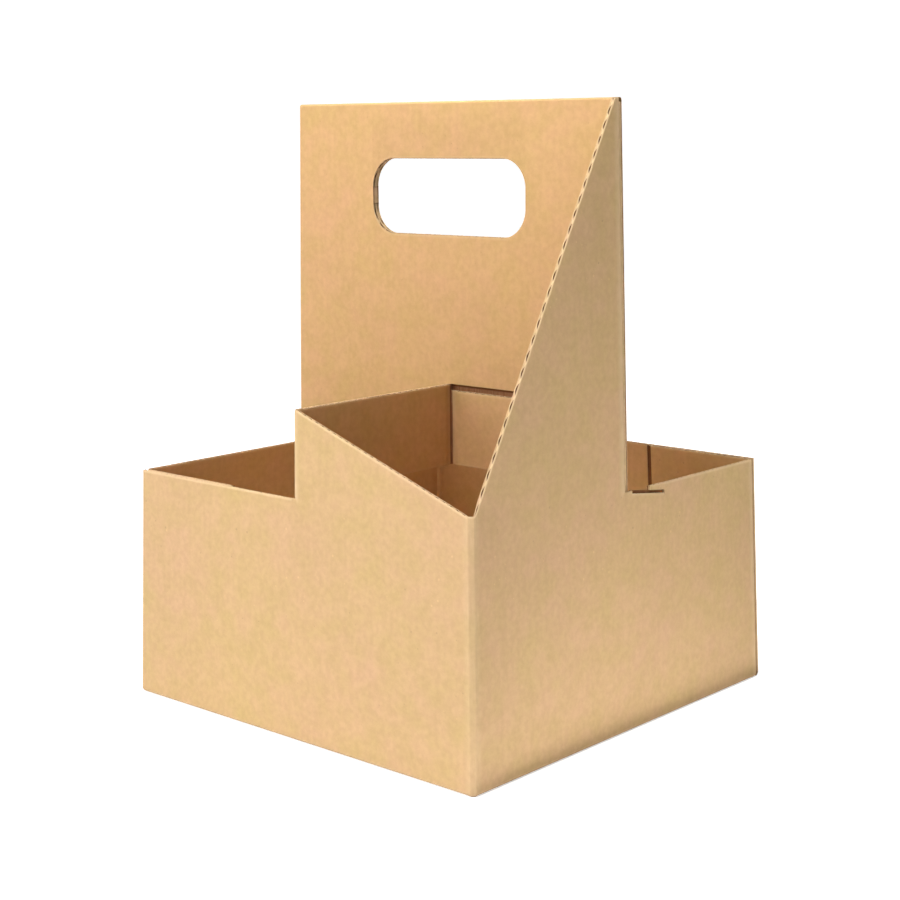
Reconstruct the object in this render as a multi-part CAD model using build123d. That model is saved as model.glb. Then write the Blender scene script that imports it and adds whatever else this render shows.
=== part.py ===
from build123d import *
from math import cos, radians, sin, tan
import os

# A four-cup carrier folded and glued from one blank of fluted board, all sizes in millimetres.
# The origin is under the middle of the base and +Z is up. The handle panel stands in the XZ plane.
# The front and right walls, the front handle layer and the front strap form one half of the blank.
# The other half is the same shape turned by half a turn about Z. Only the right wall has a relief cut.

# Board
BOARD = 1.6
LINER = 0.3
WAVED_PAPER = 0.25
FLUTE_PITCH = 3.2
OPEN_FLUTE_DEPTH = 8.0
FOLD_RADIUS = 2.4
BASE_FOLD_RADIUS = 1.9
CREASE_RADIUS = 0.8

# Box
BASE_WIDTH = 180.6
BASE_DEPTH = 180.6
WALL_LEAN = 1.74
LOW_RIM = 91.9
CORNER_RIM = 97.2
PEAK_RIM = 124.7
FLAP_SEAM = 1.0
FLAP_CORNER = 4.0

# Handle
HANDLE_HEIGHT = 235.0
GUSSET_TOP_WIDTH = 3.8
LAYER_SETBACK = 1.2
HAND_HOLE_WIDTH = 80.0
HAND_HOLE_HEIGHT = 29.5
HAND_HOLE_CORNER = 11.5
HAND_HOLE_DROP = 36.8

# Strap and laps
STRAP_LEG = 60.0
LEG_DROP = 2.6
LEG_CLEARANCE = 1.5
LAP_WIDTH = 52.5
LAP_SETBACK = 1.0
WALL_CREASE_GAP = 1.9

# Relief cut beside the handle fold
RELIEF_START = 2.8
RELIEF_OPEN_END = 14.0
RELIEF_END = 23.4
RELIEF_DROP = 2.8
RELIEF_HEIGHT = 1.1

LEAN_RATE = tan(radians(WALL_LEAN))


def half_width(z):
    return BASE_WIDTH / 2 - LEAN_RATE * z


def half_depth(z):
    return BASE_DEPTH / 2 - LEAN_RATE * z


def plate(points, direction, thickness=BOARD):
    """A flat panel: its outline in space, thickened along a level direction."""
    outline = Polyline(*points, close=True)
    return extrude(make_face(outline), amount=thickness, dir=direction)


def fold(solid, point, radius):
    """Round the one edge that passes nearest to a point."""
    edge = solid.edges().sort_by_distance(point)[0]
    return fillet(edge, radius)


def rim_fold(corner, top, inward, lean):
    """What is cut away to round a fold that starts on the low rim.

    inward points from the corner to the fold's centre, and lean is how the corner line moves per mm up.
    """
    side = 2 * FOLD_RADIUS
    centre = Vector(*corner) + Vector(*inward) * FOLD_RADIUS
    outside = Rectangle(side, side) - Circle(FOLD_RADIUS)
    quarter = outside & Pos(-inward[0] * side / 2, -inward[1] * side / 2) * Rectangle(side, side)
    rise = Vector(lean[0], lean[1], 1) * (top - corner[2])
    return extrude(Plane(centre) * quarter, amount=rise.length, dir=rise)


def front_wall():
    """Low on the left of its middle, then a step up to the peak and a slope down to the corner."""
    rim = [
        (-half_width(LOW_RIM) + LAP_SETBACK, LOW_RIM),
        (0, LOW_RIM),
        (0, PEAK_RIM),
        (FOLD_RADIUS, PEAK_RIM),
        (half_width(CORNER_RIM) - FOLD_RADIUS, CORNER_RIM),
        (half_width(CORNER_RIM), CORNER_RIM),
    ]
    foot = [(half_width(0), 0), (-half_width(0) + LAP_SETBACK, 0)]
    outline = [(x, -half_depth(z), z) for x, z in rim + foot]
    return plate(outline, (0, 1, 0))


def right_wall():
    """A gusset that climbs from the front corner to the handle, then a low rim."""
    rim = [
        (-half_depth(CORNER_RIM), CORNER_RIM),
        (-half_depth(CORNER_RIM) + FOLD_RADIUS, CORNER_RIM),
        (-GUSSET_TOP_WIDTH, HANDLE_HEIGHT),
        (0, HANDLE_HEIGHT),
        (0, LOW_RIM),
        (half_depth(LOW_RIM) - BOARD, LOW_RIM),
    ]
    foot = [(half_depth(0) - BOARD, 0), (-half_depth(0), 0)]
    outline = [(half_width(z), y, z) for y, z in rim + foot]
    return plate(outline, (-1, 0, 0))


def relief_cut():
    """A sloping slot beside the foot of the handle's fold, open at the top over its first part."""
    slope = RELIEF_DROP / (RELIEF_END - RELIEF_START)
    edge = [
        (RELIEF_START, LOW_RIM + BOARD),
        (RELIEF_START, LOW_RIM - RELIEF_HEIGHT),
        (RELIEF_END, LOW_RIM - RELIEF_DROP - RELIEF_HEIGHT),
        (RELIEF_END, LOW_RIM - RELIEF_DROP),
        (RELIEF_OPEN_END, LOW_RIM - slope * (RELIEF_OPEN_END - RELIEF_START)),
        (RELIEF_OPEN_END, LOW_RIM + BOARD),
    ]
    outline = [(half_width(0), y, z) for y, z in edge]
    return plate(outline, (-1, 0, 0), 4 * BOARD)


def lap():
    """The end of the right wall, turned at the corner and glued inside the back wall."""
    inner = half_width(LOW_RIM) - LAP_WIDTH
    corners = [(half_width(LOW_RIM), LOW_RIM), (inner, LOW_RIM), (inner, 0), (half_width(0), 0)]
    outline = [(x, half_depth(z) - BOARD, z) for x, z in corners]
    return plate(outline, (0, -1, 0))


def handle_layer():
    """The front layer of the handle: full to the low rim, with a step where the strap's leg lies."""
    step_end = STRAP_LEG + LEG_CLEARANCE
    outline = [
        (half_width(HANDLE_HEIGHT), HANDLE_HEIGHT),
        (-half_width(HANDLE_HEIGHT) + LAYER_SETBACK, HANDLE_HEIGHT),
        (-half_width(LOW_RIM) + LAYER_SETBACK, LOW_RIM),
        (0, LOW_RIM),
        (0, PEAK_RIM),
        (step_end, PEAK_RIM),
        (step_end, LOW_RIM),
        (half_width(LOW_RIM), LOW_RIM),
    ]
    return plate([(x, 0, z) for x, z in outline], (0, -1, 0)) - top_fold()


def top_fold():
    """What is cut away to round the front half of the fold over the handle's top."""
    outside = Pos(-BOARD / 2, -BOARD / 2) * Rectangle(BOARD, BOARD) - Pos(0, -BOARD) * Circle(BOARD)
    length = 2 * (half_width(HANDLE_HEIGHT) - BOARD)
    return Pos(0, 0, HANDLE_HEIGHT) * extrude(Plane.YZ * outside, amount=length / 2, both=True)


def strap():
    """Runs level from the front wall's step to the middle."""
    outline = [
        (0, -half_depth(LOW_RIM), LOW_RIM),
        (0, -half_depth(PEAK_RIM), PEAK_RIM),
        (0, 0, PEAK_RIM),
        (0, 0, LOW_RIM),
    ]
    return plate(outline, (1, 0, 0))


def strap_leg():
    """The strap's end, turned along the handle and glued to its back layer."""
    top = PEAK_RIM - LEG_DROP
    outline = [(0, 0, LOW_RIM), (0, 0, top), (STRAP_LEG, 0, top), (STRAP_LEG, 0, LOW_RIM)]
    return plate(outline, (0, -1, 0))


def crease():
    """The crushed inner line of the fold between the strap and its leg."""
    top = PEAK_RIM - LEG_DROP
    groove = Cylinder(CREASE_RADIUS, top - LOW_RIM, align=(Align.CENTER, Align.CENTER, Align.MIN))
    return Pos(BOARD, -BOARD, LOW_RIM) * groove


def wall_crease():
    """A crushed line on the inside of the front wall, beside the end of the lap glued there."""
    x = LAP_WIDTH - half_width(LOW_RIM) + WALL_CREASE_GAP
    foot = Pos(x, BOARD - half_depth(0), 0) * Circle(CREASE_RADIUS)
    rise = Vector(0, LEAN_RATE, 1) * LOW_RIM
    return extrude(foot, amount=rise.length, dir=rise)


def on_front_wall(along, depth, z):
    return (along, depth - half_depth(z), z)


def on_right_wall(along, depth, z):
    return (half_width(z) - depth, along, z)


def on_lap(along, depth, z):
    return (along, half_depth(z) - BOARD - depth, z)


def on_strap(along, depth, z):
    return (depth, along, z)


def on_handle(along, depth, z):
    return (along, -depth, z)


def cell(place, along, depths, floor, edge):
    """One wedge-shaped cell, widest at the first depth in the board and closed at the second."""
    reach = FLUTE_PITCH / 2 - WAVED_PAPER
    wide, narrow = depths
    corners = [place(along - reach, wide, floor), place(along + reach, wide, floor),
               place(along, narrow, floor)]
    rise = Vector(*place(along, wide, edge)) - Vector(*place(along, wide, floor))
    return extrude(make_face(Polyline(*corners, close=True)), amount=rise.length, dir=rise)


def open_flutes(place, start, end, inward=-1):
    """The cells of the waved paper that open at a straight cut edge.

    start and end are (along, height) on the edge, and inward is -1 where the board lies below it.
    """
    span = end[0] - start[0]
    slope = (end[1] - start[1]) / span
    count = int(span / FLUTE_PITCH)
    margin = (span - count * FLUTE_PITCH) / 2
    past_edge = abs(slope) * FLUTE_PITCH / 2 + LINER
    sides = [(0.25, (LINER, BOARD - LINER - WAVED_PAPER)), (0.75, (BOARD - LINER, LINER + WAVED_PAPER))]
    cells = []
    for number in range(count):
        for share, depths in sides:
            step = margin + (number + share) * FLUTE_PITCH
            rim = start[1] + slope * step
            cells.append(cell(place, start[0] + step, depths, rim + inward * OPEN_FLUTE_DEPTH,
                              rim - inward * past_edge))
    return cells


def half_flutes():
    """Every row of open cells on one half: the rims, the slopes, the strap and the hand hole."""
    low_reach = half_width(LOW_RIM)
    corner_reach = half_width(CORNER_RIM) - FOLD_RADIUS
    gusset_foot = FOLD_RADIUS - half_depth(CORNER_RIM)
    lap_end = low_reach - LAP_WIDTH
    hole_reach = HAND_HOLE_WIDTH / 2 - HAND_HOLE_CORNER
    hole_top = HANDLE_HEIGHT - HAND_HOLE_DROP + HAND_HOLE_HEIGHT / 2
    hole_foot = hole_top - HAND_HOLE_HEIGHT
    rows = [
        (on_front_wall, (BOARD + LAP_SETBACK - low_reach, LOW_RIM), (-BOARD, LOW_RIM)),
        (on_front_wall, (FOLD_RADIUS, PEAK_RIM), (corner_reach, CORNER_RIM)),
        (on_right_wall, (gusset_foot, CORNER_RIM), (-GUSSET_TOP_WIDTH, HANDLE_HEIGHT)),
        (on_right_wall, (BOARD, LOW_RIM), (half_depth(LOW_RIM) - BOARD - FOLD_RADIUS, LOW_RIM)),
        (on_lap, (lap_end + BOARD, LOW_RIM), (low_reach - BOARD - FOLD_RADIUS, LOW_RIM)),
        (on_strap, (FOLD_RADIUS + BOARD - half_depth(PEAK_RIM), PEAK_RIM), (-2 * BOARD, PEAK_RIM)),
        (on_handle, (2 * BOARD, PEAK_RIM - LEG_DROP), (STRAP_LEG - BOARD, PEAK_RIM - LEG_DROP)),
        (on_handle, (-hole_reach, hole_foot), (hole_reach, hole_foot)),
    ]
    cells = [one for place, start, end in rows for one in open_flutes(place, start, end)]
    return cells + open_flutes(on_handle, (-hole_reach, hole_top), (hole_reach, hole_top), inward=1)


def half_blank():
    walls = front_wall() - wall_crease() + right_wall()
    walls = fold(walls, (half_width(0), -half_depth(0), CORNER_RIM / 2), FOLD_RADIUS)
    walls += lap()
    corner_middle = LOW_RIM / 2
    walls = fold(walls, (half_width(corner_middle), half_depth(corner_middle) - BOARD, corner_middle),
                 FOLD_RADIUS)
    walls += strap()
    walls -= rim_fold((0, -half_depth(LOW_RIM), LOW_RIM), PEAK_RIM, (1, 1, 0), (0, LEAN_RATE))
    walls += handle_layer()
    walls -= rim_fold((half_width(LOW_RIM), 0, LOW_RIM), HANDLE_HEIGHT, (-1, -1, 0), (-LEAN_RATE, 0))
    walls += strap_leg()
    return walls - crease()


def half_turn(solid):
    return Rot(0, 0, 180) * solid


def base():
    """Two layers of flaps between the walls, each layer meeting in a narrow seam."""
    at_foot = (Align.CENTER, Align.CENTER, Align.MIN)
    flaps = extrude(RectangleRounded(BASE_WIDTH - BOARD, BASE_DEPTH - BOARD, FLAP_CORNER), amount=2 * BOARD)
    lower_seam = Box(BASE_WIDTH - 4 * BOARD, FLAP_SEAM, BOARD, align=at_foot)
    upper_seam = Box(FLAP_SEAM, BASE_DEPTH - 4 * BOARD, BOARD, align=at_foot)
    return flaps - lower_seam - Pos(0, 0, BOARD) * upper_seam


def base_fold(half_span, length):
    """What is cut away to round the fold between one wall and its base flap, along Y."""
    centre = half_span - BASE_FOLD_RADIUS * (LEAN_RATE + 1 / cos(radians(WALL_LEAN)))
    top = BASE_FOLD_RADIUS * (1 + sin(radians(WALL_LEAN)))
    side = centre + BASE_FOLD_RADIUS * cos(radians(WALL_LEAN))
    reach = half_span + BASE_FOLD_RADIUS
    outside = make_face(Polyline((side, top), (reach, top), (reach, -BOARD), (centre, -BOARD), (centre, 0),
                                 close=True))
    outside -= Pos(centre, BASE_FOLD_RADIUS) * Circle(BASE_FOLD_RADIUS)
    return extrude(Plane.XZ * outside, amount=length / 2, both=True)


def hand_hole():
    outline = RectangleRounded(HAND_HOLE_WIDTH, HAND_HOLE_HEIGHT, HAND_HOLE_CORNER)
    cutter = extrude(outline, amount=4 * BOARD, both=True)
    return Pos(0, 0, HANDLE_HEIGHT - HAND_HOLE_DROP) * Rot(90, 0, 0) * cutter


def carrier():
    half = half_blank()
    body = half + half_turn(half) + base()
    side_fold = base_fold(BASE_WIDTH / 2, 2 * BASE_DEPTH)
    front_fold = Rot(0, 0, -90) * base_fold(BASE_DEPTH / 2, 2 * BASE_WIDTH)
    body -= [side_fold, half_turn(side_fold), front_fold, half_turn(front_fold)]
    body -= [hand_hole(), relief_cut()]
    flutes = half_flutes()
    return body - flutes - [half_turn(one) for one in flutes]


os.makedirs("parts", exist_ok=True)
export_step(carrier(), "parts/carrier.step")
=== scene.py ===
import random
from math import ceil, cos, pi, radians, sin, sqrt

import bpy
from mathutils import Matrix, Vector


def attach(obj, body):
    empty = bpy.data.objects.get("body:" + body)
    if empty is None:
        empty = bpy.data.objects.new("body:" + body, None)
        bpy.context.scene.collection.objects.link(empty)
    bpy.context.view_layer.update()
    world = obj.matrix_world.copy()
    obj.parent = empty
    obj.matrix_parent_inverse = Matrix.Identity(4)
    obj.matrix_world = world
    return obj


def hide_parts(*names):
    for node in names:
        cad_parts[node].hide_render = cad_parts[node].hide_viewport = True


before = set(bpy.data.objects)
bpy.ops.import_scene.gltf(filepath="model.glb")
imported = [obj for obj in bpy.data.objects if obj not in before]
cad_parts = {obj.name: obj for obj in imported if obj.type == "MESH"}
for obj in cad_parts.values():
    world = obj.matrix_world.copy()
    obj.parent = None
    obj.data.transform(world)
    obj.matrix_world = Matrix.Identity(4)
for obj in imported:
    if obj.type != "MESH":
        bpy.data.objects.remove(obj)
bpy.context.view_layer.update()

# The fluted board. Two thin kraft liners are glued to a waved paper between them, so a cut across the
# flutes shows a row of small open cells, and a cut along them shows a plain layered edge.
# The flutes stand upright in every wall. All lengths are in metres.
BOARD = 0.0016
LINER = 0.00027
WAVED_PAPER = 0.00019
FLUTE = 0.0032
FLUTE_DEPTH_SEEN = 0.009
CRUSHED_SHARE = 0.07
CREASE_THINNING = 0.3
SCORE_THINNING = 0.5
PALE_EDGE_SHARE = 0.6
CUT_ROUGHNESS = 0.00005
OUTER_PINCH = 0.00026
INNER_PINCH = 0.00005
PRESSED = 0.0011
PRESSED_ROWS = (0.0, 0.35, 0.7)
LIP_STAND = 0.0002
FOOT_FOLD = 0.0019
FOOT_WEAR = 0.7
TOP_FOLD = 0.001
ROUNDING = [radians(a) for a in (0, 18, 36, 54, 72, 90)]
WEAR_FADE = 0.002
OUTSIDE, INSIDE, CUT, WAVED_AND_SHADE = range(4)
random.seed(7)


class Sheet:
    """The faces of one piece of board, with the finish of each face.

    Each point has a wear, for stretched folds and pale painted light, and a rim, where the die pressed it
    at a cut.
    """

    def __init__(self):
        self.points = []
        self.wear = []
        self.rim = []
        self.faces = []
        self.finishes = []

    def point(self, column, z, depth, rough=0.0, wear=0.0, rim=0.0):
        """A point of an upright column, at a height and at a depth from the board's outer face."""
        outer = column["low"].lerp(column["high"], z / column["rise"])
        place = outer + column["inward"] * depth
        folded = column["wear"] if z >= column["worn_from"] else 0.0
        self.points.append((place.x, place.y, z + random.uniform(-rough, rough)))
        self.wear.append(max(folded, wear))
        self.rim.append(rim)
        return len(self.points) - 1

    def face(self, finish, corners, flip=False):
        self.faces.append(corners[::-1] if flip else corners)
        self.finishes.append(finish)

    def strip(self, finish, left, right, flip=False):
        """Faces between two neighbouring columns, each a list of points from the foot up."""
        for k in range(len(left) - 1):
            self.face(finish, (left[k], right[k], right[k + 1], left[k + 1]), flip)


def board_thickness(column):
    """The board is pressed thinner where it was creased or scored."""
    return BOARD * (1 - CREASE_THINNING * column["crease"] - SCORE_THINNING * column["score"])


def layer_depths(column):
    """Depths of the outer liner's back, the waved paper's two sides and the inner liner's back."""
    thickness = board_thickness(column)
    swing = (thickness - 2 * LINER - WAVED_PAPER) / 2
    middle = thickness / 2 + swing * sin(2 * pi * column["length"] / FLUTE)
    return [LINER, middle - WAVED_PAPER / 2, middle + WAVED_PAPER / 2, thickness - LINER]


def open_cells(sheet, columns, levels, upward):
    """The cut edge across the flutes: both liners, the waved paper and the cells between them.

    The outer liner's lip stands a little proud. The die crushes the cells behind the inner liner nearly
    shut, so only the outer row is deep, and it is painted dark as shade. Returns each column's points
    across the lips.
    """
    back = -1 if upward else 1
    stands = [0.0, LIP_STAND / 2, LIP_STAND, LIP_STAND, LIP_STAND, LIP_STAND]
    lips, floors = [], []
    for column, (edge, floor) in zip(columns, levels):
        depths = layer_depths(column)
        thickness = board_thickness(column)
        squeeze = 1 - (OUTER_PINCH + INNER_PINCH) / thickness
        pinched = [OUTER_PINCH + d * squeeze for d in (0, *depths, thickness)]
        crushed = edge + (floor - edge) * CRUSHED_SHARE
        beds = (floor, floor, crushed, crushed)
        lips.append([sheet.point(column, edge + back * (stand + CUT_ROUGHNESS), d, CUT_ROUGHNESS, rim=1.0)
                     for stand, d in zip(stands, pinched)])
        floors.append([sheet.point(column, bed, d) for bed, d in zip(beds, depths)])
    for k in range(len(columns) - 1):
        lip, next_lip, floor, next_floor = lips[k], lips[k + 1], floors[k], floors[k + 1]
        for first in (0, 2, 4):
            quad = (lip[first], next_lip[first], next_lip[first + 1], lip[first + 1])
            sheet.face(CUT, quad, not upward)
        # The deep outer row gets the dark finish as painted shade, and the crushed inner row the pale one.
        for cell, finish in ((0, WAVED_AND_SHADE), (2, CUT)):
            near = (lip[cell + 1], next_lip[cell + 1], next_floor[cell], floor[cell])
            far = (floor[cell + 1], next_floor[cell + 1], next_lip[cell + 2], lip[cell + 2])
            bed = (floor[cell], next_floor[cell], next_floor[cell + 1], floor[cell + 1])
            for quad in (near, far, bed):
                sheet.face(finish, quad, not upward)
    return lips


def closed_edge(sheet, columns, levels, upward):
    """A plain edge that other board hides."""
    for k in range(len(columns) - 1):
        quad = [sheet.point(columns[j], levels[j], d)
                for j, d in ((k, 0), (k + 1, 0), (k + 1, board_thickness(columns[k + 1])),
                             (k, board_thickness(columns[k])))]
        sheet.face(CUT, quad, not upward)


def layered_edge(sheet, column, bottom, top, forward):
    """The cut edge along the flutes: liner, cut paper, a flute's hollow as a flat face painted dark as
    shade, liner.
    """
    thickness = board_thickness(column)
    depths = [0, LINER, thickness * PALE_EDGE_SHARE, thickness - LINER, thickness]
    low = [sheet.point(column, bottom, d) for d in depths]
    high = [sheet.point(column, top, d) for d in depths]
    for k, finish in enumerate((CUT, CUT, WAVED_AND_SHADE, CUT)):
        sheet.face(finish, (low[k], low[k + 1], high[k + 1], high[k]), not forward)


def painted_shade_strip(sheet, columns, levels, front, back):
    """A thin dark strip, painted shade. levels has each column's heights and their wear, which paints it
    paler.
    """
    rings = []
    for column, heights in zip(columns, levels):
        near = [sheet.point(column, z, front, wear=wear) for z, wear in heights]
        far = [sheet.point(column, z, back) for z in (heights[-1][0], heights[0][0])]
        rings.append(near + far)
    for left, right in zip(rings, rings[1:]):
        sheet.strip(WAVED_AND_SHADE, left + left[:1], right + right[:1])
    sheet.face(WAVED_AND_SHADE, rings[0], True)
    sheet.face(WAVED_AND_SHADE, rings[-1])


def pressed_rim(edge, back, room, face, pinch):
    """Rows of a liner up to its lip, where the die rounded it over: height, depth, wear and rim."""
    press = min(PRESSED, room / 4)
    return [(edge + back * press * (1 - share), face + pinch * share ** 2, 0, min(1.0, 2 * share))
            for share in PRESSED_ROWS]


def panel(sheet, columns, bottom_at, top_at, top="open", bottom="closed", ends=(None, None)):
    """One run of board between a lower and an upper edge, each at one height or a list of heights.

    top and bottom are open for a cut across the flutes, closed for a hidden edge, over for the fold over
    the handle's top and under for the fold to the base. ends are the heights between which the first and
    the last column are cut edges.
    """
    bottoms, tops = [at if isinstance(at, list) else [at] * len(columns) for at in (bottom_at, top_at)]
    worn_from = max(column["worn_from"] for column in columns)
    outer, inner = [], []
    for column, low, high in zip(columns, bottoms, tops):
        thickness = board_thickness(column)
        room = high - low
        between = [worn_from - WEAR_FADE, worn_from] if worn_from else [(low + high) / 2]
        outer_rows = [(z, 0, 0, 0) for z in (low, *between, high)]
        inner_rows = [(z, thickness, 0, 0) for z in (low, *between, high)]
        if bottom == "under":
            outer_rows[0:1] = [(low + FOOT_FOLD * (1 - cos(a)), FOOT_FOLD * (1 - sin(a)),
                                FOOT_WEAR * sin(2 * a), 0) for a in ROUNDING]
        if bottom == "open":
            outer_rows[0:1] = reversed(pressed_rim(low, 1, room, 0, OUTER_PINCH))
            inner_rows[0:1] = reversed(pressed_rim(low + LIP_STAND, 1, room, thickness, -INNER_PINCH))
        if top == "over":
            inner_rows[-1:] = [(high - TOP_FOLD * (1 - sin(a)), thickness - TOP_FOLD * (1 - cos(a)), 0, 0)
                               for a in ROUNDING]
            inner_rows.append((high, 0, 0, 0))
        if top == "open":
            outer_rows[-1:] = pressed_rim(high, -1, room, 0, OUTER_PINCH)
            inner_rows[-1:] = pressed_rim(high - LIP_STAND, -1, room, thickness, -INNER_PINCH)
        outer.append([sheet.point(column, z, d, wear=w, rim=r) for z, d, w, r in outer_rows])
        inner.append([sheet.point(column, z, d, wear=w, rim=r) for z, d, w, r in inner_rows])
    if top == "open":
        floors = [max(high - FLUTE_DEPTH_SEEN, (low + high) / 2) for low, high in zip(bottoms, tops)]
        for k, lip in enumerate(open_cells(sheet, columns, list(zip(tops, floors)), True)):
            outer[k].append(lip[0])
            inner[k].append(lip[-1])
    if top == "closed":
        closed_edge(sheet, columns, tops, True)
    if bottom == "open":
        floors = [min(low + FLUTE_DEPTH_SEEN, (low + high) / 2) for low, high in zip(bottoms, tops)]
        for k, lip in enumerate(open_cells(sheet, columns, list(zip(bottoms, floors)), False)):
            outer[k].insert(0, lip[0])
            inner[k].insert(0, lip[-1])
    if bottom == "closed":
        closed_edge(sheet, columns, bottoms, False)
    for k in range(len(columns) - 1):
        sheet.strip(OUTSIDE, outer[k], outer[k + 1])
        # A pressed score's inside gets the dark finish: painted shade in the groove.
        score_painted_dark = columns[k]["score"] + columns[k + 1]["score"] > 1.0
        sheet.strip(WAVED_AND_SHADE if score_painted_dark else INSIDE, inner[k], inner[k + 1], flip=True)
    if ends[0]:
        layered_edge(sheet, columns[0], *ends[0], False)
    if ends[1]:
        layered_edge(sheet, columns[-1], *ends[1], True)


# Both halves of the blank. Each half is one run of board: strap leg, strap, front wall, gusset wall and
# handle layer, with a second run for the low walls and the glue lap. A fold is a flat band between two
# pressed creases, thinner and worn paler. The halves are alike, turned by half a turn, but for the
# sloping relief cut, which is in the right wall only.
HALF_FOOT = 0.0903
LEAN = 0.030378
TOP = 0.235
LOW_RIM = 0.0919
CORNER_RIM = 0.0972
PEAK = 0.1247
COLUMNS_PER_FLUTE = 10
FLAT_WALL = 0.999

# The folds, their steps in degrees, and how far a crease presses and wears the board beside them.
FOLD = 0.0024
SHARP_TURN = 60
FOLD_STEPS = (7, 14, 21, 45, 69, 76, 83)
FLAT_BAND_HALF = 24
CREASE_REACH = 0.0028
SCORE_HALF = 0.0009
SCORE_FLAT = 0.8
SCORE_SLOPE = 0.3
CORNER_WEAR = 0.4
# The pale strips beside the step's and the gusset's folds are crease wear and a painted highlight.
STEP_WEAR_AND_HIGHLIGHT = 0.0016
GUSSET_WEAR_AND_HIGHLIGHT = 0.003
SHARP_ANGLE = 24

# The strap's leg, the gusset's tip, the handle's hand hole and, behind the leg's notch, a painted shade
# strip.
LEG_TOP = PEAK - 0.0026
LEG_END = 0.060
LEG_NOTCH = 0.0615
GUSSET_TIP = 0.0038
GUSSET_OVERLAP = 0.001
LAYER_SETBACK = 0.0012
OUTER_PART = 0.0245
PAST_HOLE = 0.05
HOLE_HALF = 0.040
HOLE_CORNER = 0.0115
HOLE_CORNER_STEPS = 48
HOLE_HALF_HEIGHT = 0.01475
HOLE_CENTRE = 0.1982
NOTCH_SHADE_OVERLAP = 0.0003
NOTCH_SHADE_PALE_TO = PEAK - 0.0013
NOTCH_SHADE_DARK_FROM = PEAK - 0.0009
NOTCH_SHADE_STAND = 0.00005

# The glue lap and the right wall's relief cut, a notch running on as a sloping slit with painted shade in
# it.
LAP_SETBACK = 0.001
LAP_WIDTH = 0.0525
LAP_FOOT = 0.0033
SCORE_FROM_LAP_END = 0.0015
RELIEF_START = 0.0028
RELIEF_OPENING = 0.014
RELIEF_END = 0.0234
RELIEF_DROP = 0.0028
RELIEF_GAP = 0.0011
RELIEF_SHADE_DEPTH = BOARD * 0.6
RELIEF_SHADE_OVERLAP = 0.0005


def half(z):
    """Half the carrier's width at a height, because every wall leans inward."""
    return HALF_FOOT - LEAN * z


def even(length):
    """Shares of a length, at least as close as the columns of board stand."""
    steps = max(2, ceil(length / (FLUTE / COLUMNS_PER_FLUTE)))
    return [k / steps for k in range(steps + 1)]


def walk(line, spacings):
    """Outer points and inward directions along a line in plan, with a fold at each sharp turn."""
    found = []
    turned = False
    headings = [(b - a).normalized() for a, b in zip(line, line[1:])]
    for k, heading in enumerate(headings):
        start, end = line[k], line[k + 1]
        left = Vector((-heading.y, heading.x))
        if turned:
            start = start + heading * FOLD
        turns = k + 1 < len(headings) and heading.dot(headings[k + 1]) < cos(radians(SHARP_TURN))
        if turns:
            end = end - heading * FOLD
        for fraction in spacings[k][1 if k > 0 and not turned else 0:]:
            found.append((start.lerp(end, fraction), left, 0.0))
        turned = turns
        if turns:
            centre = end + left * FOLD
            for step in FOLD_STEPS:
                angle = radians(step)
                outward = heading * sin(angle) - left * cos(angle)
                reach = min(1.0, cos(radians(FLAT_BAND_HALF)) / cos(angle - pi / 4))
                found.append((centre + outward * FOLD * reach, -outward, 1.0))
    return found


def columns_along(line_at, spacings):
    """Upright columns of board along a line in plan that is given at any height."""
    low = walk([Vector(p) for p in line_at(0.0)], spacings)
    high = walk([Vector(p) for p in line_at(TOP)], spacings)
    columns = []
    length = 0.0
    for k, ((a, inward, turn), (b, _, _)) in enumerate(zip(low, high)):
        if k:
            length += (a - low[k - 1][0]).length
        columns.append({"low": a, "high": b, "inward": inward, "rise": TOP, "turn": turn,
                        "length": length, "worn_from": 0.0, "score": 0.0})
    turns = [c["length"] for c in columns if c["turn"]]
    for column in columns:
        nearest = min([abs(column["length"] - t) for t in turns], default=1.0)
        column["crease"] = max(0.0, 1 - nearest / CREASE_REACH)
        column["wear"] = max(0.0, 1 - nearest / FOLD)
    return columns


def press_score(columns, middle):
    """A pressed line on the inside of the board, crushed to half its thickness and painted dark as shade.
    """
    for column in columns:
        off = abs(column["length"] - middle) / SCORE_HALF
        column["score"] = min(1.0, max(0.0, 1 - (off - SCORE_FLAT) / SCORE_SLOPE))


def stands_in_wall(column, x, y):
    """Whether a column stands in the flat wall whose inward direction is x, y, and not in a fold."""
    return column["inward"].dot(Vector((x, y))) > FLAT_WALL


def rim_between(column, axis, first, second):
    """The height at which a column meets the straight cut between two rim points."""
    slope = (second[1] - first[1]) / (second[0] - first[0])
    foot = column["low"][axis]
    drift = (column["high"][axis] - foot) / column["rise"]
    return (first[1] + (foot - first[0]) * slope) / (1 - slope * drift)


def hole_edge(x, side):
    """The hand hole's lower (-1) or upper (+1) edge."""
    past = max(0.0, abs(x) - (HOLE_HALF - HOLE_CORNER))
    round_part = sqrt(max(0.0, HOLE_CORNER ** 2 - past ** 2))
    return HOLE_CENTRE + side * (HOLE_HALF_HEIGHT - HOLE_CORNER + round_part)


def strap_run(sheet):
    """The strap's leg, the strap and its fold to the front wall's step."""
    leg = even(LEG_END)
    columns = columns_along(lambda z: [(LEG_END, 0), (0, 0), (0, -half(z)), (FOLD, -half(z))],
                            [leg, even(HALF_FOOT), [0, 1]])
    turn_middle = len(leg) + len(FOLD_STEPS) // 2
    press_score(columns, columns[turn_middle]["length"])
    panel(sheet, columns[:turn_middle + 1], LOW_RIM, LEG_TOP, bottom="open",
          ends=((LOW_RIM, LEG_TOP), None))
    panel(sheet, columns[turn_middle:], LOW_RIM, PEAK, bottom="open", ends=((LEG_TOP, PEAK), None))


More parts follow.
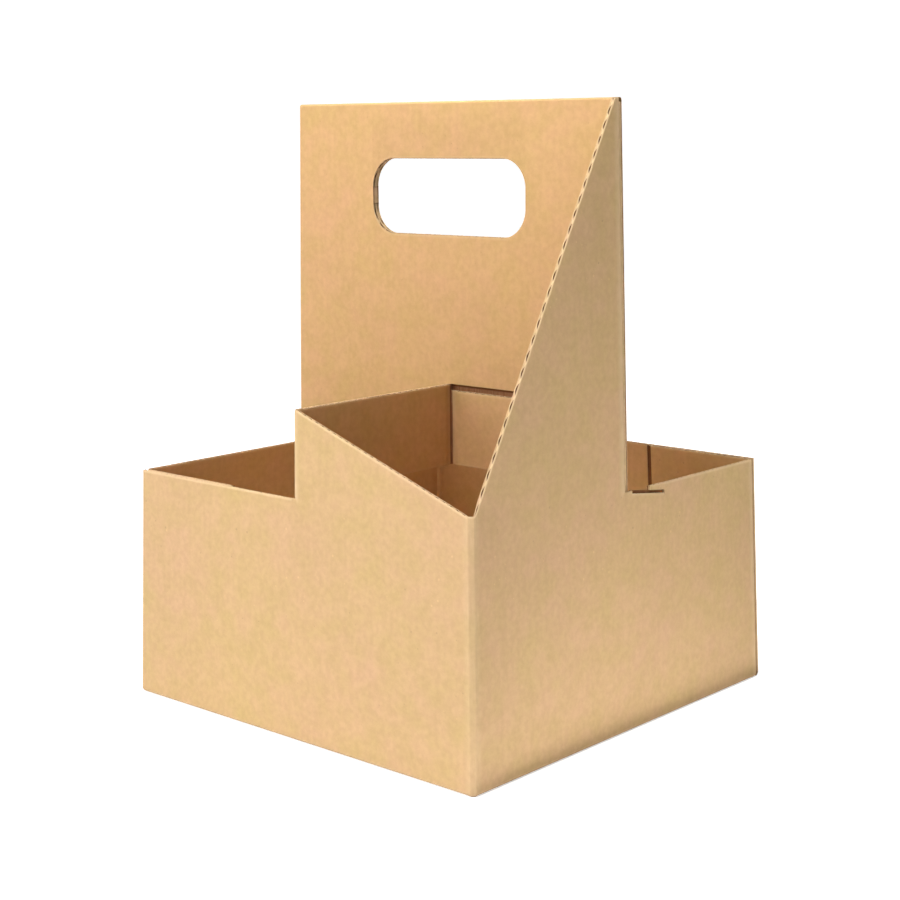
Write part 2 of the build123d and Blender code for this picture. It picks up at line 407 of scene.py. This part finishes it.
def wall_run(sheet):
    """The front wall from its step to the corner, and the gusset wall as far as the handle's fold."""
    def line_at(z):
        return [(FOLD, -half(z)), (half(z), -half(z)), (half(z), -FOLD)]

    columns = columns_along(line_at, [even(HALF_FOOT), even(HALF_FOOT)])
    for column in columns:
        column["wear"] *= CORNER_WEAR
        # Beside the step's and the gusset's folds, from the low rim up: crease wear and a painted
        # highlight.
        beside_fold = min(column["length"] / STEP_WEAR_AND_HIGHLIGHT,
                          (columns[-1]["length"] - column["length"]) / GUSSET_WEAR_AND_HIGHLIGHT)
        if beside_fold < 1:
            column["wear"] = 1 - beside_fold
            column["worn_from"] = LOW_RIM
    corner = half(CORNER_RIM)
    tops = []
    for column in columns:
        if stands_in_wall(column, 0, 1):
            top = rim_between(column, 0, (FOLD, PEAK), (corner - FOLD, CORNER_RIM))
        elif stands_in_wall(column, -1, 0):
            top = rim_between(column, 1, (FOLD - corner, CORNER_RIM), (-GUSSET_TIP, TOP))
        else:
            top = CORNER_RIM
        tops.append(min(top, TOP))
    panel(sheet, columns, 0.0, tops, bottom="under")


def handle_run(sheet):
    """The fold at the gusset's top edge and the front layer of the handle, round the hand hole."""
    corner_share = [sin(radians(90 * k / HOLE_CORNER_STEPS)) for k in range(HOLE_CORNER_STEPS + 1)]
    into_corner = [1 - f for f in reversed(corner_share)]
    straight = HOLE_HALF - HOLE_CORNER

    def line_at(z):
        x = half(z)
        return [(x, -FOLD - GUSSET_OVERLAP), (x, 0), (LEG_NOTCH, 0), (HOLE_HALF, 0), (straight, 0), (0, 0),
                (-straight, 0), (-HOLE_HALF, 0), (LAYER_SETBACK - x, 0)]

    # The columns stand evenly in each part of the layer, and closer at the hand hole's round corners.
    spacings = [[0, 1], even(OUTER_PART), even(LEG_NOTCH - HOLE_HALF), into_corner, even(straight),
                even(straight), corner_share, even(PAST_HOLE)]
    columns = columns_along(line_at, spacings)
    marks = [2 + len(FOLD_STEPS)]
    for spacing in spacings[1:]:
        marks.append(marks[-1] + len(spacing) - 1)
    panel(sheet, columns[1:marks[0] + 1], LOW_RIM, TOP, ends=(None, (TOP - BOARD, TOP)))
    notch_side = (LOW_RIM, PEAK)
    hole_side = (hole_edge(HOLE_HALF, -1), hole_edge(HOLE_HALF, 1))
    cut_sides = {0: (None, notch_side), 1: (None, hole_side), 6: (hole_side, (LOW_RIM, TOP - BOARD))}
    for number, (start, stop) in enumerate(zip(marks, marks[1:])):
        part = columns[start:stop + 1]
        foot = PEAK if 1 <= number <= 3 else LOW_RIM
        if number in cut_sides:
            panel(sheet, part, foot, TOP, top="over", ends=cut_sides[number])
        else:
            lower, upper = [[hole_edge(c["low"].x, side) for c in part] for side in (-1, 1)]
            panel(sheet, part, foot, lower)
            panel(sheet, part, upper, TOP, top="over", bottom="open")
    # A dark strip behind the leg's notch is painted shade under the handle layer's edge, paler at its foot.
    behind_notch = [c for c in columns if -LEG_NOTCH < c["low"].x < 0 and stands_in_wall(c, 0, -1)]
    notch_shade_rows = ((LEG_TOP - NOTCH_SHADE_OVERLAP, 1.0), (NOTCH_SHADE_PALE_TO, 1.0), (NOTCH_SHADE_DARK_FROM, 0.0),
                 (PEAK + NOTCH_SHADE_OVERLAP, 0.0))
    painted_shade_strip(sheet, behind_notch, [notch_shade_rows] * len(behind_notch), -NOTCH_SHADE_STAND, LINER)


def low_run(sheet):
    """The front wall's low part, with its raw upright edge at the far corner."""
    def line_at(z):
        return [(LAP_SETBACK - half(z), -half(z)), (0, -half(z)), (FOLD, -half(z))]

    left = even(HALF_FOOT)
    columns = columns_along(line_at, [left, [0, 1]])
    seen = len(left)
    panel(sheet, columns[:seen], 0.0, LOW_RIM, bottom="under", ends=((FOOT_FOLD, LOW_RIM), None))
    panel(sheet, columns[seen - 1:], 0.0, LOW_RIM, top="closed", bottom="under")


def lap_run(sheet, relief):
    """The gusset wall's low part and the lap glued inside the next wall.

    The right wall has a sloping relief cut beside the foot of the handle's fold, with a dark strip in it as
    painted shade, and a line crushed in its lap beside the free end, painted dark as shade.
    """
    slope = RELIEF_DROP / (RELIEF_END - RELIEF_START)

    def line_at(z):
        x = half(z)
        return [(x, -FOLD), (x, 0), (x, RELIEF_START), (x, RELIEF_OPENING), (x, RELIEF_END), (x, x - BOARD),
                (x - LAP_WIDTH, x - BOARD)]

    spacings = [[0, 1], even(RELIEF_START), even(RELIEF_OPENING - RELIEF_START),
                even(RELIEF_END - RELIEF_OPENING), even(HALF_FOOT - RELIEF_END), even(LAP_WIDTH)]
    columns = columns_along(line_at, spacings)
    if relief:
        press_score(columns, columns[-1]["length"] - SCORE_FROM_LAP_END)
    marks = [0]
    for spacing in spacings[:4]:
        marks.append(marks[-1] + len(spacing) - 1)
    under, rim, notch, slit = [columns[a:b + 1] for a, b in zip(marks, marks[1:])]
    rest = columns[marks[-1]:]
    turned = [k for k, c in enumerate(rest) if stands_in_wall(c, 0, -1)][0]
    notch_end = (LOW_RIM - RELIEF_GAP, LOW_RIM) if relief else None
    slit_end = (LOW_RIM - RELIEF_DROP - RELIEF_GAP, LOW_RIM - RELIEF_DROP) if relief else None
    panel(sheet, under, 0.0, LOW_RIM, top="closed", bottom="under")
    panel(sheet, rim, 0.0, LOW_RIM, bottom="under", ends=(None, notch_end))
    for part in (notch, slit):
        tops = [LOW_RIM - (RELIEF_GAP + slope * (c["low"].y - RELIEF_START) if relief else 0) for c in part]
        panel(sheet, part, 0.0, tops, bottom="under")
        # In the right wall a dark strip stands in the notch and the slit as painted shade, hiding the
        # interior.
        if relief:
            slit_shade_rows = [((top - RELIEF_SHADE_OVERLAP, 0.0), (top + RELIEF_GAP, 0.0)) for top in tops]
            painted_shade_strip(sheet, part, slit_shade_rows, RELIEF_SHADE_DEPTH, RELIEF_SHADE_DEPTH + WAVED_PAPER)
    if relief:
        sliver = [LOW_RIM - slope * (c["low"].y - RELIEF_START) for c in slit]
        panel(sheet, slit, sliver, LOW_RIM, ends=((sliver[0], LOW_RIM), None))
    panel(sheet, rest[:turned + 1], 0.0, LOW_RIM, bottom="under", ends=(slit_end, None))
    panel(sheet, rest[turned:], LAP_FOOT, LOW_RIM, ends=(None, (LAP_FOOT, LOW_RIM)))


def board_object(name, sheet, finishes):
    mesh = bpy.data.meshes.new(name)
    mesh.from_pydata(sheet.points, [], sheet.faces)
    for finish in finishes:
        mesh.materials.append(finish)
    mesh.polygons.foreach_set("material_index", sheet.finishes)
    for label, values in (("wear", sheet.wear), ("rim", sheet.rim)):
        mesh.attributes.new(label, "FLOAT", "POINT").data.foreach_set("value", values)
    mesh.polygons.foreach_set("use_smooth", [True] * len(mesh.polygons))
    mesh.set_sharp_from_angle(angle=radians(SHARP_ANGLE))
    mesh.update()
    piece = bpy.data.objects.new(name, mesh)
    bpy.context.scene.collection.objects.link(piece)
    return piece


def shader_group(name, inputs, outputs):
    """An empty node group with named inputs, as (name, kind, value), and outputs, as (name, kind)."""
    group = bpy.data.node_groups.new(name, "ShaderNodeTree")
    for label, kind, value in inputs:
        socket = group.interface.new_socket(label, in_out="INPUT", socket_type=kind)
        socket.default_value = value
    for label, kind in outputs:
        group.interface.new_socket(label, in_out="OUTPUT", socket_type=kind)
    return group, group.nodes.new("NodeGroupInput"), group.nodes.new("NodeGroupOutput")


def add_node(tree, kind, links=None, **settings):
    """A node with its settings, and its inputs linked or set by name or number."""
    node = tree.nodes.new(kind)
    for key, value in settings.items():
        setattr(node, key, value)
    for key, value in (links or {}).items():
        socket = node.inputs[key]
        if isinstance(value, bpy.types.NodeSocket):
            tree.links.new(value, socket)
        else:
            socket.default_value = value
    return node


def math_node(tree, operation, first, second=0.0, third=0.0, clamp=False):
    node = add_node(tree, "ShaderNodeMath", {0: first, 1: second, 2: third}, operation=operation,
                    use_clamp=clamp)
    return node.outputs[0]


def blend_colour(tree, share, first, second):
    node = add_node(tree, "ShaderNodeMix", {0: share, 6: first, 7: second}, data_type="RGBA")
    return node.outputs[2]


def noise(tree, place, scale, detail=2.0, roughness=0.5):
    node = add_node(tree, "ShaderNodeTexNoise", {"Vector": place, "Scale": scale, "Detail": detail,
                                                 "Roughness": roughness})
    return node.outputs["Fac"]


def spread(tree, value, low, high, to_low=0.0, to_high=1.0):
    node = add_node(tree, "ShaderNodeMapRange", {0: value, 1: low, 2: high, 3: to_low, 4: to_high})
    return node.outputs[0]


# Kraft paper: cloudy warm and cool patches, pressed fibre clumps of 1 to 3 mm, fine fibres along the
# paper machine's run, a few dark and pale flecks, and the flutes showing faintly through as ribs.
# A scale is in cycles per metre, and a shade is how much lighter a pattern makes the paper.
PLAIN_KRAFT = (0.6, 0.4, 0.22, 1)
BROAD_SCALE = 22.0
RIB_PATCH_SCALE = 45.0
CLOUD_SCALE = 110.0
SPECK_SCALE = 330.0
CLUMP_SCALE = 420.0
FIBRE_SCALE = (900.0, 3600.0, 1.0)
SPECK_SIZE = 0.16
DARK_SPECKS_FROM = 0.86
PALE_SPECKS_BELOW = 0.12
CLUMP_SHADE = 0.04
CLOUD_SHADE = 0.03
FIBRE_SHADE = 0.1
RIB_SHADE = 0.01
DARK_SPECK_SHADE = -0.16
PALE_SPECK_SHADE = 0.12
WARM_TINT = (0.008, -0.019, 0.045)
CLUMP_HEIGHT = 0.25
RIB_HEIGHT = 0.35
FIBRE_HEIGHT = 0.35

kraft, given, result = shader_group(
    "kraft_paper",
    [("Colour", "NodeSocketColor", PLAIN_KRAFT), ("Clumps", "NodeSocketFloat", 1.0),
     ("Flecks", "NodeSocketFloat", 1.0), ("Ribs", "NodeSocketFloat", 1.0)],
    [("Colour", "NodeSocketColor"), ("Roughness", "NodeSocketFloat"), ("Height", "NodeSocketFloat")])
geometry = add_node(kraft, "ShaderNodeNewGeometry")
place = geometry.outputs["Position"]
side = add_node(kraft, "ShaderNodeSeparateXYZ", {0: geometry.outputs["Normal"]})
spot = add_node(kraft, "ShaderNodeSeparateXYZ", {0: place})
facing_x = math_node(kraft, "GREATER_THAN", math_node(kraft, "ABSOLUTE", side.outputs[0]), 0.7)
along = add_node(kraft, "ShaderNodeMix", {0: facing_x, 2: spot.outputs[0], 3: spot.outputs[1]},
                 data_type="FLOAT").outputs[0]
rib = math_node(kraft, "SINE", math_node(kraft, "MULTIPLY", along, 2 * pi / FLUTE))
rib = math_node(kraft, "MULTIPLY", rib, noise(kraft, place, RIB_PATCH_SCALE))
rib = math_node(kraft, "MULTIPLY", rib, given.outputs["Ribs"])
run = add_node(kraft, "ShaderNodeCombineXYZ", {0: along, 1: spot.outputs[2]}).outputs[0]
fibre_place = add_node(kraft, "ShaderNodeMapping", {"Vector": run, "Scale": FIBRE_SCALE}).outputs[0]
fibre = noise(kraft, fibre_place, 1.0, 4.0, 0.65)
cloud = spread(kraft, noise(kraft, place, CLOUD_SCALE), 0.32, 0.68, -1.0, 1.0)
broad = spread(kraft, noise(kraft, place, BROAD_SCALE), 0.3, 0.7, -1.0, 1.0)
clump = spread(kraft, noise(kraft, place, CLUMP_SCALE, 3.0, 0.6), 0.35, 0.65, -1.0, 1.0)
specks = add_node(kraft, "ShaderNodeTexVoronoi", {"Vector": place, "Scale": SPECK_SCALE,
                                                  "Randomness": 1.0})
speck_kind = add_node(kraft, "ShaderNodeSeparateXYZ", {0: specks.outputs["Color"]})
speck_size = math_node(kraft, "MULTIPLY", speck_kind.outputs[1], SPECK_SIZE)
speck = math_node(kraft, "LESS_THAN", specks.outputs["Distance"], speck_size)
dark = math_node(kraft, "GREATER_THAN", speck_kind.outputs[0], DARK_SPECKS_FROM)
light = math_node(kraft, "LESS_THAN", speck_kind.outputs[0], PALE_SPECKS_BELOW)
dark_speck = math_node(kraft, "MULTIPLY", speck, dark)
pale_speck = math_node(kraft, "MULTIPLY", speck, light)
value = 1.0
for pattern, strength in (
        (math_node(kraft, "MULTIPLY", clump, given.outputs["Clumps"]), CLUMP_SHADE),
        (cloud, CLOUD_SHADE),
        (math_node(kraft, "SUBTRACT", fibre, 0.5), FIBRE_SHADE),
        (rib, RIB_SHADE),
        (math_node(kraft, "MULTIPLY", dark_speck, given.outputs["Flecks"]), DARK_SPECK_SHADE),
        (math_node(kraft, "MULTIPLY", pale_speck, given.outputs["Flecks"]), PALE_SPECK_SHADE)):
    value = math_node(kraft, "MULTIPLY_ADD", pattern, strength, value)
warmth = math_node(kraft, "ADD", cloud, broad)
tint = add_node(kraft, "ShaderNodeCombineXYZ", {
    channel: math_node(kraft, "MULTIPLY_ADD", warmth, amount, 1.0)
    for channel, amount in enumerate(WARM_TINT)}).outputs[0]
shade = add_node(kraft, "ShaderNodeVectorMath", {0: tint, "Scale": value}, operation="SCALE")
painted = add_node(kraft, "ShaderNodeVectorMath", {0: given.outputs["Colour"], 1: shade.outputs[0]},
                   operation="MULTIPLY")
kraft.links.new(painted.outputs[0], result.inputs["Colour"])
kraft.links.new(spread(kraft, clump, -1.0, 1.0, 0.92, 0.78), result.inputs["Roughness"])
height = math_node(kraft, "MULTIPLY_ADD", clump, CLUMP_HEIGHT,
                   math_node(kraft, "MULTIPLY", rib, RIB_HEIGHT))
height = math_node(kraft, "MULTIPLY_ADD", fibre, FIBRE_HEIGHT, height)
kraft.links.new(height, result.inputs["Height"])

# Worn folds and rims: where the liner was creased it is stretched, paler and broken into short upright
# streaks, and where the die pressed it over at a cut it is rubbed pale, with a painted highlight on the
# lip.
STREAK_SCALE = (1400.0, 1400.0, 160.0)
WEAR_PATCH_SCALE = 70.0
FOLD_HEIGHT = 0.6
BUMP_DISTANCE = 0.00003
PAPER_SHINE = 0.25

fold_wear, given, result = shader_group(
    "fold_wear",
    [("Colour", "NodeSocketColor", PLAIN_KRAFT), ("Worn colour", "NodeSocketColor", (0.8, 0.6, 0.4, 1)),
     ("Amount", "NodeSocketFloat", 0.6), ("Rim", "NodeSocketFloat", 0.7)],
    [("Colour", "NodeSocketColor"), ("Height", "NodeSocketFloat")])
wear = add_node(fold_wear, "ShaderNodeAttribute", attribute_name="wear").outputs["Fac"]
rim = add_node(fold_wear, "ShaderNodeAttribute", attribute_name="rim").outputs["Fac"]
place = add_node(fold_wear, "ShaderNodeNewGeometry").outputs["Position"]
streak_place = add_node(fold_wear, "ShaderNodeMapping", {"Vector": place, "Scale": STREAK_SCALE})
streaks = spread(fold_wear, noise(fold_wear, streak_place.outputs[0], 1.0, 3.0, 0.6), 0.42, 0.62)
patches = spread(fold_wear, noise(fold_wear, place, WEAR_PATCH_SCALE), 0.35, 0.6)
broken = math_node(fold_wear, "MULTIPLY", streaks, patches)
broken = math_node(fold_wear, "MULTIPLY_ADD", broken, 0.5, 0.5)
creased = math_node(fold_wear, "MULTIPLY", wear, broken)
creased = math_node(fold_wear, "MULTIPLY", creased, given.outputs["Amount"])
# The rim line is partly rubbed paper and partly a painted highlight on the lip.
rim_rub_and_highlight = math_node(fold_wear, "MULTIPLY", math_node(fold_wear, "MULTIPLY_ADD", streaks, 0.3, 0.7), rim)
rim_rub_and_highlight = math_node(fold_wear, "MULTIPLY", rim_rub_and_highlight, given.outputs["Rim"])
mask = math_node(fold_wear, "MAXIMUM", creased, rim_rub_and_highlight, clamp=True)
fold_wear.links.new(blend_colour(fold_wear, mask, given.outputs["Colour"], given.outputs["Worn colour"]),
                    result.inputs["Colour"])
fold_wear.links.new(math_node(fold_wear, "MULTIPLY", wear, streaks), result.inputs["Height"])


def kraft_finish(name, colour, worn, clumps=1.0, flecks=1.0, ribs=1.0, wear_amount=0.7, rim_amount=0.5):
    finish = bpy.data.materials.new(name)
    finish.use_nodes = True
    tree = finish.node_tree
    surface = tree.nodes["Principled BSDF"]
    paper = add_node(tree, "ShaderNodeGroup", node_tree=kraft)
    for label, value in (("Colour", (*colour, 1)), ("Clumps", clumps), ("Flecks", flecks), ("Ribs", ribs)):
        paper.inputs[label].default_value = value
    folds = add_node(tree, "ShaderNodeGroup", node_tree=fold_wear)
    for label, value in (("Worn colour", (*worn, 1)), ("Amount", wear_amount), ("Rim", rim_amount)):
        folds.inputs[label].default_value = value
    tree.links.new(paper.outputs["Colour"], folds.inputs["Colour"])
    tree.links.new(folds.outputs["Colour"], surface.inputs["Base Color"])
    tree.links.new(paper.outputs["Roughness"], surface.inputs["Roughness"])
    relief = math_node(tree, "MULTIPLY_ADD", folds.outputs["Height"], FOLD_HEIGHT, paper.outputs["Height"])
    bump = add_node(tree, "ShaderNodeBump", {"Height": relief, "Strength": 1.0, "Distance": BUMP_DISTANCE})
    tree.links.new(bump.outputs[0], surface.inputs["Normal"])
    surface.inputs["Specular IOR Level"].default_value = PAPER_SHINE
    return finish


liner_outside = kraft_finish("kraft_liner_outside", (0.52, 0.345, 0.172), (0.66, 0.49, 0.30))
liner_inside = kraft_finish("kraft_liner_inside", (0.532, 0.323, 0.143), (0.64, 0.46, 0.27), ribs=1.3,
                            wear_amount=0.5, rim_amount=0.25)
cut_edge = kraft_finish("kraft_cut_edge", (0.56, 0.385, 0.21), (0.64, 0.47, 0.28), clumps=2.0, flecks=2.0,
                        ribs=0.0, rim_amount=0.3)
# The waved paper's finish is far darker than the paper: partly its own brown, partly painted shade.
waved_and_shade = kraft_finish("kraft_waved_and_shade", (0.16, 0.065, 0.02), (0.55, 0.28, 0.14), clumps=2.0,
                           ribs=0.0, rim_amount=0.0)
finishes = [liner_outside, liner_inside, cut_edge, waved_and_shade]

for name, turned in (("front_half_of_blank", 0.0), ("back_half_of_blank", pi)):
    half_sheet = Sheet()
    strap_run(half_sheet)
    wall_run(half_sheet)
    handle_run(half_sheet)
    low_run(half_sheet)
    lap_run(half_sheet, relief=not turned)
    blank = board_object(name, half_sheet, finishes)
    blank.data.transform(Matrix.Rotation(turned, 4, "Z"))
    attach(blank, "root")
    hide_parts("carrier")

# The base: four flaps folded in from the feet of the walls and glued, two below and two on top,
# each pair meeting in a narrow seam. They are the same board as the walls.
FLAP_SEAM = 0.001


def base_flap(name, level, quarter_turns):
    """One flap, made upright with its cut edge on top, then laid flat and turned to its wall."""
    sheet = Sheet()
    reach = HALF_FOOT - FLAP_SEAM / 2 - FOOT_FOLD
    span = HALF_FOOT - FOOT_FOLD
    columns = columns_along(lambda z: [(-span, 0), (span, 0)], [even(2 * span)])
    panel(sheet, columns, 0.0, reach, ends=((0.0, reach), (0.0, reach)))
    flap = board_object(name, sheet, finishes)
    lay_flat = Matrix.Rotation(pi / 2, 4, "X")
    flap.data.transform(Matrix.Rotation(quarter_turns * pi / 2, 4, "Z")
                        @ Matrix.Translation((0, span, level)) @ lay_flat)
    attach(flap, "root")
    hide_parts("carrier")


base_flap("base_flap_back", 0.0, 0)
base_flap("base_flap_front", 0.0, 2)
base_flap("base_flap_left", BOARD, 1)
base_flap("base_flap_right", BOARD, 3)

# The studio: a pale matt floor that sweeps up all round, so it has no edge in any view. It looks lit from
# below, as a light table is, but that light doesn't reach the object. It is not part of the object.
SWEEP_PROFILE = [(1.6, 0.0), (1.9, 0.03), (2.2, 0.13), (2.45, 0.32), (2.62, 0.58), (2.7, 0.9), (2.72, 1.8)]
AROUND = 96
FLOOR_GREY = (0.89, 0.89, 0.89, 1)
FLOOR_PALE = (0.91, 0.91, 0.905, 1)
FLOOR_LIFT = 0.55

points = []
for radius, level in SWEEP_PROFILE:
    for k in range(AROUND):
        angle = 2 * pi * k / AROUND
        points.append((radius * cos(angle), radius * sin(angle), level))
faces = [list(range(AROUND))]
for ring in range(len(SWEEP_PROFILE) - 1):
    for k in range(AROUND):
        a, b = ring * AROUND + k, ring * AROUND + (k + 1) % AROUND
        faces.append((b, a, a + AROUND, b + AROUND))
floor_mesh = bpy.data.meshes.new("studio_floor")
floor_mesh.from_pydata(points, [], faces)
floor_mesh.polygons.foreach_set("use_smooth", [True] * len(floor_mesh.polygons))
floor = bpy.data.objects.new("studio_floor", floor_mesh)
bpy.context.scene.collection.objects.link(floor)
floor_finish = bpy.data.materials.new("pale_floor")
floor_finish.use_nodes = True
tree = floor_finish.node_tree
surface = tree.nodes["Principled BSDF"]
grain = noise(tree, add_node(tree, "ShaderNodeNewGeometry").outputs["Position"], 30.0, 3.0)
pale = blend_colour(tree, spread(tree, grain, 0.3, 0.7), FLOOR_GREY, FLOOR_PALE)
seen = add_node(tree, "ShaderNodeLightPath").outputs["Is Camera Ray"]
tree.links.new(pale, surface.inputs["Base Color"])
tree.links.new(seen, surface.inputs["Emission Color"])
surface.inputs["Emission Strength"].default_value = FLOOR_LIFT
surface.inputs["Roughness"].default_value = 0.9
surface.inputs["Specular IOR Level"].default_value = 0.1
floor_mesh.materials.append(floor_finish)

# Soft studio light: a large panel high in front that reaches down into the cells, a weak low one on the
# left, three narrow ones from above, one behind that catches the folds on the right, a bounce card on
# the floor along the right wall, and an even pale surround.
SURROUND_STRENGTH = 0.25


def light_panel(name, place, target, size, power, beam=180, long_side=None):
    lamp = bpy.data.lights.new(name, "AREA")
    lamp.shape = "RECTANGLE" if long_side else "DISK"
    lamp.size = size
    lamp.size_y = long_side or size
    lamp.energy = power
    lamp.spread = radians(beam)
    panel_object = bpy.data.objects.new(name, lamp)
    panel_object.location = place
    aim = (Vector(target) - Vector(place)).to_track_quat("-Z", "Y")
    panel_object.rotation_euler = aim.to_euler()
    panel_object.visible_camera = False
    bpy.context.scene.collection.objects.link(panel_object)


light_panel("key_light", (0.0, -0.8, 1.65), (0, 0, 0.05), 0.5, 27.4)
light_panel("low_light", (-0.5, -1.5, 0.45), (0, 0, 0.1), 0.7, 8.2)
light_panel("wall_light", (0.12, -0.02, 1.25), (0.12, -0.02, 0), 0.4, 0.45, beam=45)
light_panel("cell_light", (-0.01, -0.01, 1.25), (-0.01, -0.01, 0), 0.1, 0.06, beam=14)
light_panel("edge_light", (0.1, 1.3, 0.45), (0.08, 0, 0.12), 0.3, 2.5)
light_panel("floor_light", (0.235, -0.02, 1.2), (0.235, -0.02, 0), 0.05, 0.2, beam=12)
light_panel("bounce_card", (0.125, 0.0, 0.003), (0.125, 0.0, 1.0), 0.06, 0.034, long_side=0.2)
surround = bpy.data.worlds.new("pale_surround")
surround.use_nodes = True
backdrop = surround.node_tree.nodes["Background"]
backdrop.inputs["Color"].default_value = (1.0, 1.0, 1.0, 1)
backdrop.inputs["Strength"].default_value = SURROUND_STRENGTH
bpy.context.scene.world = surround
bpy.context.scene.view_settings.view_transform = "Standard"

# The camera stands a little higher than the hand hole, turned to the front corner and tipped slightly
# down. Its turn, tip and roll are in radians.
FILM_WIDTH = 36.0
PICTURE_PIXELS = 900
LENS_PIXELS = 1744.9015
CAMERA_PLACE = (0.46175188, -0.51222674, 0.22378390)
TURN, TIP, ROLL = 0.7344268968, 0.1811053326, -0.009271149
ahead = Vector((-sin(TURN) * cos(TIP), cos(TURN) * cos(TIP), -sin(TIP)))
right = Vector((cos(TURN), sin(TURN), 0))
up = right.cross(ahead)
rolled_right = right * cos(ROLL) + up * sin(ROLL)
rolled_up = up * cos(ROLL) - right * sin(ROLL)
lens = bpy.data.cameras.new("camera")
lens.sensor_width = FILM_WIDTH
lens.lens = LENS_PIXELS / PICTURE_PIXELS * FILM_WIDTH
lens.clip_start = 0.01
camera = bpy.data.objects.new("camera", lens)
rows = zip(rolled_right, rolled_up, -ahead, CAMERA_PLACE)
camera.matrix_world = Matrix((*rows, (0, 0, 0, 1)))
bpy.context.scene.collection.objects.link(camera)
bpy.context.scene.camera = camera
